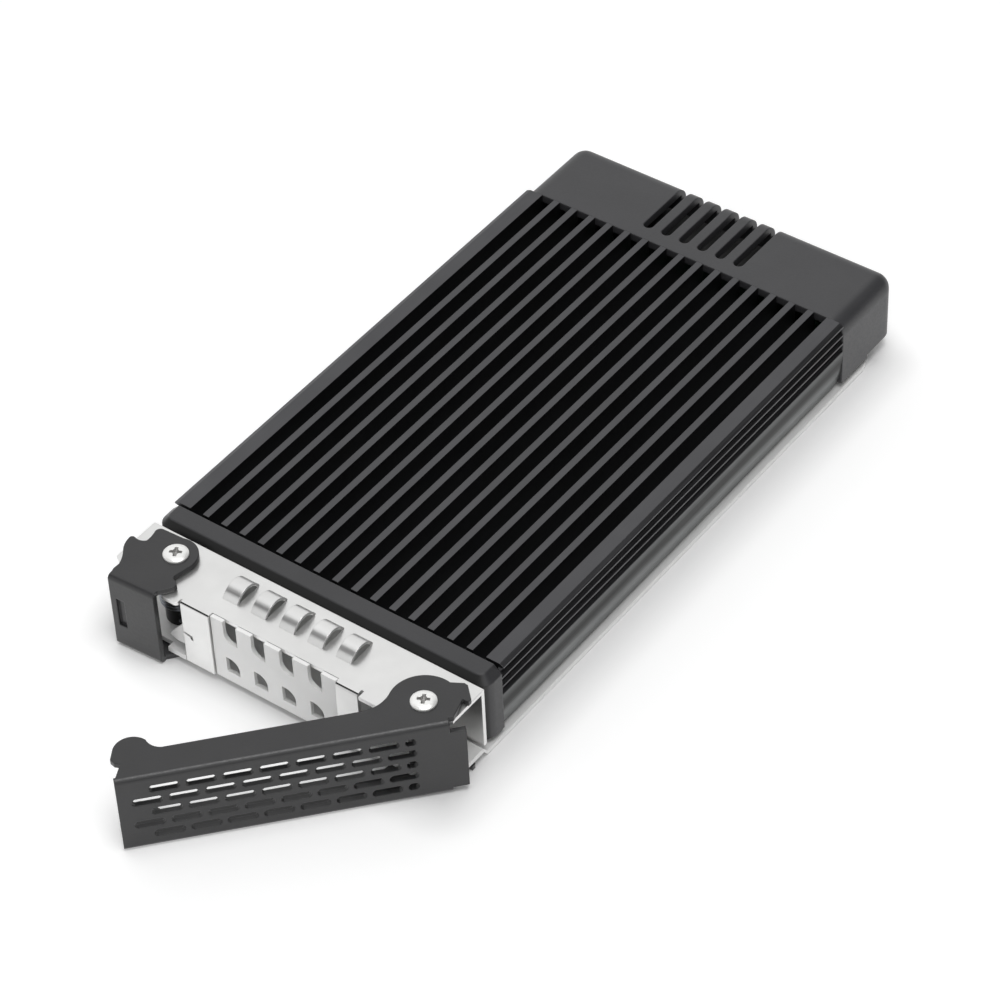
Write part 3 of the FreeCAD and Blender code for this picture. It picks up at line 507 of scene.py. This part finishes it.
def sunk_screw(name, place, levels, radii):
    """Countersunk screw driven from below: flat head with a cross recess, cone and shank.

    levels are the heights of the head's face, the end of its cone and the shank's end."""
    (x, y), (face, neck, end), (wide, narrow) = place, levels, radii
    start_clean()
    bpy.ops.mesh.primitive_cone_add(vertices=48, radius1=wide, radius2=narrow, depth=neck - face,
                                    location=(x, y, (face + neck) / 2))
    screw = bpy.context.object
    settle(screw)
    select_faces(screw, lambda c, n: n.z > 0.95)
    bpy.ops.mesh.extrude_region_move(TRANSFORM_OT_translate={"value": (0, 0, end - neck)})
    bpy.ops.mesh.inset(thickness=0.2 * narrow, depth=0.0)
    cut_recess(screw, (x, y, face), False, 0.55 * wide, 0.8 * (neck - face))
    name_piece(screw, name)
    return screw


# ---------------------------------------------------------------- spring

def wound_spring(name, sizes):
    """Close-wound torsion spring: a wire ring swept up the post, its ends drawn out as legs."""
    low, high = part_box("latch_spring")
    x, y = centre("latch_post")
    wire = sizes.spring_wire
    radius = (high.x - low.x) / 2 - wire
    rise = high.z - low.z - 2 * wire
    start_clean()
    bpy.ops.mesh.primitive_circle_add(vertices=14, radius=wire, location=(radius, 0, 0),
                                      rotation=(math.pi / 2, 0, 0))
    spring = bpy.context.object
    settle(spring)
    turns = sizes.spring_turns
    use_modifier(spring, "wind", "SCREW", axis="Z", angle=2 * math.pi * turns, screw_offset=rise,
                 steps=int(36 * turns), render_steps=int(36 * turns))
    hair = 0.001 * MM
    ends = ((lambda c: abs(c.y) < hair and c.x > 0 and c.z < 1.01 * wire, sizes.short_leg),
            (lambda c: abs(c.y) < hair and c.x < 0 and c.z > rise - 1.01 * wire, sizes.long_leg))
    for test, leg in ends:
        select_points(spring, test)
        bpy.ops.mesh.extrude_region_move(TRANSFORM_OT_translate={"value": (0, -leg, 0)})
        bpy.ops.mesh.edge_face_add()
        bpy.ops.object.mode_set(mode="OBJECT")
    pick(spring)
    bpy.ops.object.mode_set(mode="EDIT")
    bpy.ops.mesh.select_all(action="SELECT")
    bpy.ops.mesh.normals_make_consistent(inside=False)
    bpy.ops.object.mode_set(mode="OBJECT")
    name_piece(spring, name)
    spring.location = (x, y, low.z + wire)
    settle(spring)
    return spring


# ---------------------------------------------------------------- studio

def studio_world(light):
    """A room that is dim all round, with pale walls and black flags.

    Pale walls behind on the left and low in front on the left light tops and folds. Black flags
    hang between them and behind on the right, so that metal shows dark bands."""
    world = bpy.data.worlds.new("studio_room")
    world.use_nodes = True
    tree = world.node_tree
    way = add_node(tree, "ShaderNodeTexCoord").outputs["Generated"]
    # the middle's direction, the angles where a zone starts and is full, and its change of level
    zones = (((-0.451, 0.571, 0.686), 60, 34, light.wall - light.room),
             ((-0.44, -0.83, 0.34), 42, 20, light.low_wall - light.room),
             ((-0.451, -0.477, 0.756), 18, 8, -1.0),
             ((0.45, 0.57, 0.69), 40, 24, -1.0))
    level = None
    for aim, start, full, change in zones:
        facing = add_node(tree, "ShaderNodeVectorMath", {1: aim}, {0: way}, operation="DOT_PRODUCT")
        share = add_node(tree, "ShaderNodeMapRange",
                         {"From Min": math.cos(math.radians(start)), "To Max": change,
                          "From Max": math.cos(math.radians(full))},
                         {"Value": facing.outputs["Value"]})
        total = add_node(tree, "ShaderNodeMath", {1: light.room}, {0: share.outputs["Result"]},
                         operation="ADD")
        if level:
            tree.links.new(level, total.inputs[1])
        level = total.outputs["Value"]
    lit = add_node(tree, "ShaderNodeMath", {1: 0.0}, {0: level}, operation="MAXIMUM")
    back = tree.nodes["Background"]
    back.inputs["Color"].default_value = colour("#ffffff")
    tree.links.new(lit.outputs["Value"], back.inputs["Strength"])
    return world


def softbox(name, place, width, power):
    """A square lamp that faces the part."""
    bpy.ops.object.light_add(type="AREA", location=place)
    lamp = bpy.context.object
    lamp.name = name
    lamp.data.shape = "SQUARE"
    lamp.data.size = width
    lamp.data.energy = power
    lamp.rotation_euler = (-Vector(place)).to_track_quat("-Z", "Y").to_euler()


def studio_camera():
    """The camera, from the front on the right and above."""
    bpy.ops.object.camera_add(location=(0, 0, 0))
    camera = bpy.context.object
    camera.name = "studio_camera"
    camera.data.sensor_width = 36.0
    camera.data.lens = CAMERA_LENS
    turn = Matrix(CAMERA_AXES).transposed().to_4x4()
    camera.matrix_world = Matrix.Translation(CAMERA_PLACE) @ turn
    return camera


# ---------------------------------------------------------------- properties

def shade(name, text, hex_value):
    """A colour that can be changed in the sidebar."""
    return bpy.props.FloatVectorProperty(name=name, description=text, subtype="COLOR", size=4,
                                         min=0.0, max=1.0, default=colour(hex_value))


class CaddyColours(bpy.types.PropertyGroup):
    """Colours of the outer finishes, each with that of its paler patches."""
    anodised: shade("Anodised", "Black anodised fins", "#575759")
    anodised_pale: shade("Anodised, paler", "Paler patches of the fins", "#5c5c5e")
    plastic: shade("Plastic", "Moulded rear cap", "#3a3a3c")
    plastic_pale: shade("Plastic, paler", "Paler patches of the rear cap", "#3e3e40")
    coat: shade("Coat", "Powder coat of the levers", "#2f2f30")
    coat_pale: shade("Coat, paler", "Paler patches of the levers", "#333334")
    zinc: shade("Zinc", "Zinc plated tray", "#f1f1f0")
    zinc_pale: shade("Zinc, paler", "Paler patches of the tray", "#f6f6f5")


class CaddySizes(bpy.types.PropertyGroup):
    """Sizes of the added pieces."""
    spring_wire: bpy.props.FloatProperty(name="Spring wire", description="Radius of the spring's wire",
                                         default=0.3 * MM, min=0.1 * MM, unit="LENGTH", precision=5)
    spring_turns: bpy.props.FloatProperty(name="Spring turns", description="Turns of wire on the post",
                                          default=4.5, min=1.0, max=12.0)
    short_leg: bpy.props.FloatProperty(name="Short leg", description="Length of the spring's lower leg",
                                       default=4.5 * MM, min=0.0, unit="LENGTH", precision=5)
    long_leg: bpy.props.FloatProperty(name="Long leg", description="Length of the spring's upper leg",
                                      default=7.6 * MM, min=0.0, unit="LENGTH", precision=5)
    pan_height: bpy.props.FloatProperty(name="Pan head", description="Height of the lever screws' heads",
                                        default=0.7 * MM, min=0.1 * MM, unit="LENGTH", precision=5)
    shank_radius: bpy.props.FloatProperty(name="Shank", description="Radius of the lever screws' shanks",
                                          default=1.25 * MM, min=0.5 * MM, unit="LENGTH", precision=5)
    floor_reach: bpy.props.FloatProperty(name="Floor", description="Width of the studio floor",
                                         default=6.0, min=1.0, max=50.0, unit="LENGTH")


class CaddyLight(bpy.types.PropertyGroup):
    """Levels of the studio light."""
    top_power: bpy.props.FloatProperty(name="Top", description="Power of the softbox overhead",
                                       default=10.4, min=0.0, unit="POWER")
    front_power: bpy.props.FloatProperty(name="Front", description="Power of the front softbox",
                                         default=4.2, min=0.0, unit="POWER")
    room: bpy.props.FloatProperty(name="Room", description="Strength of the light from all round",
                                  default=0.35, min=0.0)
    wall: bpy.props.FloatProperty(name="Wall", description="Strength of the pale wall behind",
                                  default=0.9, min=0.0)
    low_wall: bpy.props.FloatProperty(name="Low wall", description="Strength of the wall in front",
                                      default=0.8, min=0.0)
    floor_lift: bpy.props.FloatProperty(name="Floor lift", description="Extra white in the seen floor",
                                        default=0.24, min=0.0, max=1.0)
    # reach of the painted shadow round the tray, where the floor's lift becomes full
    floor_clear: bpy.props.FloatProperty(name="Floor clear", description="Where that white is full",
                                         default=9 * MM, min=0.1 * MM, unit="LENGTH", precision=5)


# ---------------------------------------------------------------- operators

class CADDY_OT_stage(bpy.types.Operator):
    """Pale floor, soft studio light and the camera"""
    bl_idname = "caddy.stage"
    bl_label = "Studio"

    def execute(self, context):
        sizes, light = context.scene.caddy_sizes, context.scene.caddy_light
        start_clean()
        bpy.ops.mesh.primitive_plane_add(size=sizes.floor_reach, location=(0, 0, -0.1 * MM))
        floor = bpy.context.object
        floor.name = "studio_floor"
        settle(floor)
        floor.data.materials.append(white_floor(light.floor_lift, light.floor_clear))
        context.scene.world = studio_world(light)
        softbox("top_softbox", (0.22, -0.05, 1.5), 0.8, light.top_power)
        softbox("front_softbox", (1.0, -0.7, 1.2), 1.2, light.front_power)
        context.scene.camera = studio_camera()
        context.scene.view_settings.view_transform = "Standard"
        return {"FINISHED"}


class CADDY_OT_enclosure(bpy.types.Operator):
    """Finishes of the finned enclosure and its two caps"""
    bl_idname = "caddy.enclosure"
    bl_label = "Enclosure"

    def execute(self, context):
        shades = context.scene.caddy_colours
        dress(black_anodised((shades.anodised, shades.anodised_pale)), "heatsink")
        dress(drawn_aluminium(), "lower_shell")
        dress(moulded_abs("moulded_abs_plastic", (shades.plastic, shades.plastic_pale)), "rear_cap")
        dress(abs_with_painted_shade(), "front_cap")
        return {"FINISHED"}


class CADDY_OT_tray(bpy.types.Operator):
    """Finishes of the folded tray and the front cover"""
    bl_idname = "caddy.tray"
    bl_label = "Tray"

    def execute(self, context):
        shades = context.scene.caddy_colours
        dress(zinc_sheet((shades.zinc, shades.zinc_pale)), "tray_base")
        dress(burnished_zinc(), "front_cover")
        return {"FINISHED"}


class CADDY_OT_levers(bpy.types.Operator):
    """Finishes of the handle, the latch and their posts"""
    bl_idname = "caddy.levers"
    bl_label = "Levers"

    def execute(self, context):
        shades = context.scene.caddy_colours
        dress(powder_coat((shades.coat, shades.coat_pale)), "handle", "latch_lever")
        dress(turned_steel(), "handle_post", "latch_post", "module_standoff")
        return {"FINISHED"}


class CADDY_OT_screws(bpy.types.Operator):
    """Pan head screws over the levers, countersunk screws below them and in the tray"""
    bl_idname = "caddy.screws"
    bl_label = "Screws"

    def execute(self, context):
        sizes = context.scene.caddy_sizes
        nickel = nickel_plate()
        dress(nickel, "module_screw")
        for lever in ("handle", "latch"):
            top, bottom = lever + "_screw_top", lever + "_screw_bottom"
            screw = pan_screw(lever + "_pan_screw", top, sizes.pan_height, sizes.shank_radius)
            finish_piece(screw, nickel, "tray", top)
            low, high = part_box(bottom)
            neck = 0.9 * MM
            screw = sunk_screw(lever + "_sunk_screw", centre(bottom), (low.z, neck, high.z),
                               ((high.x - low.x) / 2, sizes.shank_radius))
            finish_piece(screw, nickel, "tray", bottom)
        low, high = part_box("tray_screws")
        wide, narrow, neck = 2.75 * MM, 1.5 * MM, 1.0 * MM
        first = (low.x + wide, low.y + wide)
        screw = sunk_screw("drive_screws", first, (low.z, neck, high.z), (wide, narrow))
        across, along = high.x - low.x - 2 * wide, high.y - low.y - 2 * wide
        copies = [copy_at(screw, offset)
                  for offset in ((across, 0, 0), (0, along, 0), (across, along, 0))]
        finish_piece(join([screw] + copies, "drive_screws"), nickel, "tray",
                     "tray_screws")
        return {"FINISHED"}


class CADDY_OT_spring(bpy.types.Operator):
    """Wound torsion spring round the latch post"""
    bl_idname = "caddy.spring"
    bl_label = "Latch spring"

    def execute(self, context):
        spring = wound_spring("torsion_spring", context.scene.caddy_sizes)
        finish_piece(spring, spring_wire(), "tray", "latch_spring")
        return {"FINISHED"}


class CADDY_OT_inside(bpy.types.Operator):
    """Finishes of the boards, connector and pad inside the enclosure"""
    bl_idname = "caddy.inside"
    bl_label = "Inside"

    def execute(self, context):
        dress(circuit_board(), "adapter_board", "storage_module")
        dress(black_nylon(), "drive_connector", "module_socket")
        dress(gold_plate(), "connector_contacts")
        dress(chip_epoxy(), "module_chips")
        dress(silicone_pad(), "thermal_pad")
        return {"FINISHED"}


class CADDY_PT_panel(bpy.types.Panel):
    """Sidebar panel with every step of the dressing"""
    bl_label = "Drive caddy"
    bl_idname = "CADDY_PT_panel"
    bl_space_type = "VIEW_3D"
    bl_region_type = "UI"
    bl_category = "Caddy"

    def draw(self, context):
        layout = self.layout
        scene = context.scene
        for group in (scene.caddy_sizes, scene.caddy_colours, scene.caddy_light):
            for name in group.__annotations__:
                layout.prop(group, name)
        for step in STEPS:
            layout.operator(step.bl_idname)


STEPS = (CADDY_OT_stage, CADDY_OT_enclosure, CADDY_OT_tray, CADDY_OT_levers, CADDY_OT_screws,
         CADDY_OT_spring, CADDY_OT_inside)
CLASSES = (CaddySizes, CaddyColours, CaddyLight, *STEPS, CADDY_PT_panel)


def register():
    for item in CLASSES:
        bpy.utils.register_class(item)
    bpy.types.Scene.caddy_sizes = bpy.props.PointerProperty(type=CaddySizes)
    bpy.types.Scene.caddy_colours = bpy.props.PointerProperty(type=CaddyColours)
    bpy.types.Scene.caddy_light = bpy.props.PointerProperty(type=CaddyLight)


def unregister():
    del bpy.types.Scene.caddy_light
    del bpy.types.Scene.caddy_colours
    del bpy.types.Scene.caddy_sizes
    for item in reversed(CLASSES):
        bpy.utils.unregister_class(item)


def main():
    register()
    for step in STEPS:
        group, name = step.bl_idname.split(".")
        getattr(getattr(bpy.ops, group), name)()


if __name__ == "__main__":
    main()
